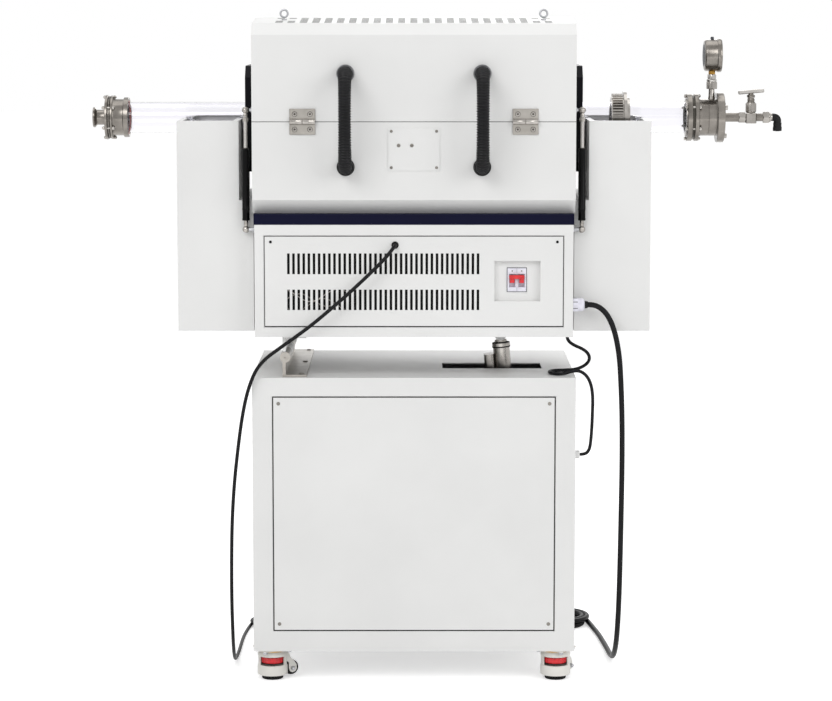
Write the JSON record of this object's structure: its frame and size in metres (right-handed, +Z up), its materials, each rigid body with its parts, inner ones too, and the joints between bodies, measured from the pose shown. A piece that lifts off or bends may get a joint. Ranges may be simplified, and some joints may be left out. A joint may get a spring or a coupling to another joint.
{
  "type": "tube furnace",
  "caption": "Tilting rotary split-tube furnace with hinged lid, gas springs, quartz work tube, vacuum flanges and a wheeled cabinet cart.",
  "frame": {"origin": "on the floor, midway between the four levelling feet, under the middle of the cart", "axes": "+X along the work tube towards the gauge end, +Y towards the operator side, +Z up"},
  "size_m": [1.362, 0.6802, 1.302],
  "materials": {
    "aluminium": "anodised",
    "black_paint": "gloss",
    "black_plastic": "satin",
    "black_rubber": "matt",
    "breaker_plastic": "semi-gloss",
    "cast_white": "painted casting",
    "ceramic_fibre": "matt",
    "navy_enamel": "semi-gloss powder coat",
    "quartz": "clear",
    "red_plastic": "gloss",
    "stainless": "brushed",
    "white_enamel": "semi-gloss powder coat",
    "zinc_steel": "bright zinc plate"
  },
  "bodies": {
    "cart": {"cart_cabinet": "white_enamel", "cart_back_panel": "white_enamel", "cart_screws": "zinc_steel", "cart_brackets": "zinc_steel", "sensor_cable": "black_rubber", "mains_cable": "black_rubber", "link_cable": "black_rubber", "cable_plugs": "black_plastic"},
    "door": {"cart_door": "white_enamel"},
    "box": {"control_box": "white_enamel", "vent_panel": "white_enamel", "front_panel": "white_enamel", "breaker_body": "breaker_plastic", "box_fasteners": "zinc_steel", "base_glands": "black_plastic", "base_band": "navy_enamel", "lower_shell": "white_enamel", "lower_insulation": "ceramic_fibre", "wing_left": "white_enamel", "wing_right": "white_enamel", "tube_bearings": "aluminium", "drive_motor": "black_paint", "end_covers_lower": "navy_enamel", "cover_plate": "white_enamel", "hinge_leaves_lower": "stainless", "left_flange": "stainless", "right_flange": "stainless", "gauge": "stainless", "valve_body": "stainless", "conduit_hoses": "black_plastic"},
    "breaker_switch": {"breaker_toggle": "red_plastic"},
    "stop": {"stop_button": "red_plastic"},
    "lid": {"lid_shell": "white_enamel", "lid_insulation": "ceramic_fibre", "end_covers_lid": "navy_enamel", "hinge_leaves_lid": "stainless", "lid_fittings": "zinc_steel"},
    "work_tube": {"quartz_tube": "quartz", "tube_gear": "aluminium"},
    "pinion": {"drive_pinion": "zinc_steel"},
    "valve_turn": {"valve_handle": "stainless"},
    "needle": {"gauge_pointer": "black_plastic"},
    "ram_outer": {"actuator_body": "aluminium"},
    "ram_inner": {"actuator_rod": "stainless"},
    "spring_outer_left": {"spring_cylinder_left": "black_paint"},
    "spring_inner_left": {"spring_rod_left": "stainless"},
    "spring_outer_right": {"spring_cylinder_right": "black_paint"},
    "spring_inner_right": {"spring_rod_right": "stainless"},
    "caster_swivel_1": {"caster_housing_1": "cast_white"},
    "caster_roll_1": {"caster_wheel_1": "black_plastic"},
    "caster_level_1": {"caster_foot_1": "black_rubber"},
    "caster_swivel_2": {"caster_housing_2": "cast_white"},
    "caster_roll_2": {"caster_wheel_2": "black_plastic"},
    "caster_level_2": {"caster_foot_2": "black_rubber"},
    "caster_swivel_3": {"caster_housing_3": "cast_white"},
    "caster_roll_3": {"caster_wheel_3": "black_plastic"},
    "caster_level_3": {"caster_foot_3": "black_rubber"},
    "caster_swivel_4": {"caster_housing_4": "cast_white"},
    "caster_roll_4": {"caster_wheel_4": "black_plastic"},
    "caster_level_4": {"caster_foot_4": "black_rubber"}
  },
  "joints": [
    {"name": "cart_door_hinge", "type": "hinge", "parent": "cart", "child": "door", "pos_m": [0.272, 0.22, 0.33], "axis": [0, 0, -1], "range_deg": [0, 100]},
    {"name": "tilt", "type": "hinge", "parent": "cart", "child": "box", "pos_m": [-0.248, 0, 0.636], "axis": [0, -1, 0], "range_deg": [0, 30], "deforming": ["sensor_cable", "mains_cable", "link_cable"]},
    {"name": "ram_swing", "type": "hinge", "parent": "cart", "child": "ram_outer", "pos_m": [0.201, -0.032, 0.323], "axis": [0, -1, 0], "range_deg": [0, 5.3]},
    {"name": "ram_stroke", "type": "slide", "parent": "ram_outer", "child": "ram_inner", "axis": [-0.0882, 0, 0.9961], "range_m": [0, 0.21413]},
    {"name": "lid_hinge", "type": "hinge", "parent": "box", "child": "lid", "pos_m": [0, -0.226, 1.089], "axis": [1, 0, 0], "range_deg": [0, 75], "deforming": ["conduit_hoses"]},
    {"name": "breaker_lever", "type": "hinge", "parent": "box", "child": "breaker_switch", "pos_m": [0.19725, -0.205, 0.7865], "axis": [1, 0, 0], "range_deg": [0, 60]},
    {"name": "stop_press", "type": "slide", "parent": "box", "child": "stop", "axis": [0, -1, 0], "range_m": [0, 0.005]},
    {"name": "tube_spin", "type": "hinge", "parent": "box", "child": "work_tube", "pos_m": [0, 0, 1.089], "axis": [1, 0, 0], "continuous": true},
    {"name": "pinion_spin", "type": "hinge", "parent": "box", "child": "pinion", "pos_m": [0.4, 0, 1.024], "axis": [1, 0, 0], "continuous": true},
    {"name": "valve_turn", "type": "hinge", "parent": "box", "child": "valve_turn", "pos_m": [0.666, 0, 1.14], "axis": [0, 0, 1], "range_deg": [0, 720]},
    {"name": "gauge_needle", "type": "hinge", "parent": "box", "child": "needle", "pos_m": [0.592, 0, 1.211], "axis": [-1, 0, 0], "range_deg": [0, 270]},
    {"name": "spring_swing_left", "type": "hinge", "parent": "box", "child": "spring_outer_left", "pos_m": [-0.322, -0.192, 0.882], "axis": [1, 0, 0], "range_deg": [0, 10.56]},
    {"name": "spring_stroke_left", "type": "slide", "parent": "spring_outer_left", "child": "spring_inner_left", "axis": [0, 0, 1], "range_m": [0, 0.02176]},
    {"name": "spring_swing_right", "type": "hinge", "parent": "box", "child": "spring_outer_right", "pos_m": [0.322, -0.192, 0.882], "axis": [1, 0, 0], "range_deg": [0, 10.56]},
    {"name": "spring_stroke_right", "type": "slide", "parent": "spring_outer_right", "child": "spring_inner_right", "axis": [0, 0, 1], "range_m": [0, 0.02176]},
    {"name": "caster_swivel_1", "type": "hinge", "parent": "cart", "child": "caster_swivel_1", "pos_m": [-0.277, -0.18, 0.05], "axis": [0, 0, 1], "continuous": true},
    {"name": "caster_roll_1", "type": "hinge", "parent": "caster_swivel_1", "child": "caster_roll_1", "pos_m": [-0.24392, -0.16457, 0.019], "axis": [-0.4226, 0.9063, 0], "continuous": true},
    {"name": "caster_level_1", "type": "slide", "parent": "caster_swivel_1", "child": "caster_level_1", "axis": [0, 0, 1], "range_m": [0, 0.006]},
    {"name": "caster_swivel_2", "type": "hinge", "parent": "cart", "child": "caster_swivel_2", "pos_m": [-0.277, 0.18, 0.05], "axis": [0, 0, 1], "continuous": true},
    {"name": "caster_roll_2", "type": "hinge", "parent": "caster_swivel_2", "child": "caster_roll_2", "pos_m": [-0.30861, 0.19825, 0.019], "axis": [-0.5, -0.866, 0], "continuous": true},
    {"name": "caster_level_2", "type": "slide", "parent": "caster_swivel_2", "child": "caster_level_2", "axis": [0, 0, 1], "range_m": [0, 0.006]},
    {"name": "caster_swivel_3", "type": "hinge", "parent": "cart", "child": "caster_swivel_3", "pos_m": [0.277, -0.18, 0.05], "axis": [0, 0, 1], "continuous": true},
    {"name": "caster_roll_3", "type": "hinge", "parent": "caster_swivel_3", "child": "caster_roll_3", "pos_m": [0.29525, -0.14839, 0.019], "axis": [-0.866, 0.5, 0], "continuous": true},
    {"name": "caster_level_3", "type": "slide", "parent": "caster_swivel_3", "child": "caster_level_3", "axis": [0, 0, 1], "range_m": [0, 0.006]},
    {"name": "caster_swivel_4", "type": "hinge", "parent": "cart", "child": "caster_swivel_4", "pos_m": [0.277, 0.18, 0.05], "axis": [0, 0, 1], "continuous": true},
    {"name": "caster_roll_4", "type": "hinge", "parent": "caster_swivel_4", "child": "caster_roll_4", "pos_m": [0.3113, 0.19248, 0.019], "axis": [-0.342, 0.9397, 0], "continuous": true},
    {"name": "caster_level_4", "type": "slide", "parent": "caster_swivel_4", "child": "caster_level_4", "axis": [0, 0, 1], "range_m": [0, 0.006]}
  ],
  "couplings": [
    {"joint": "ram_swing", "follows": "tilt", "ratio": 0.17506},
    {"joint": "ram_stroke", "follows": "tilt", "m_per_rad": 0.40801},
    {"joint": "pinion_spin", "follows": "tube_spin", "ratio": -2.25},
    {"joint": "spring_swing_left", "follows": "lid_hinge", "ratio": 0.14008},
    {"joint": "spring_stroke_left", "follows": "lid_hinge", "m_per_rad": 0.016393},
    {"joint": "spring_swing_right", "follows": "lid_hinge", "ratio": 0.14008},
    {"joint": "spring_stroke_right", "follows": "lid_hinge", "m_per_rad": 0.016393}
  ]
}
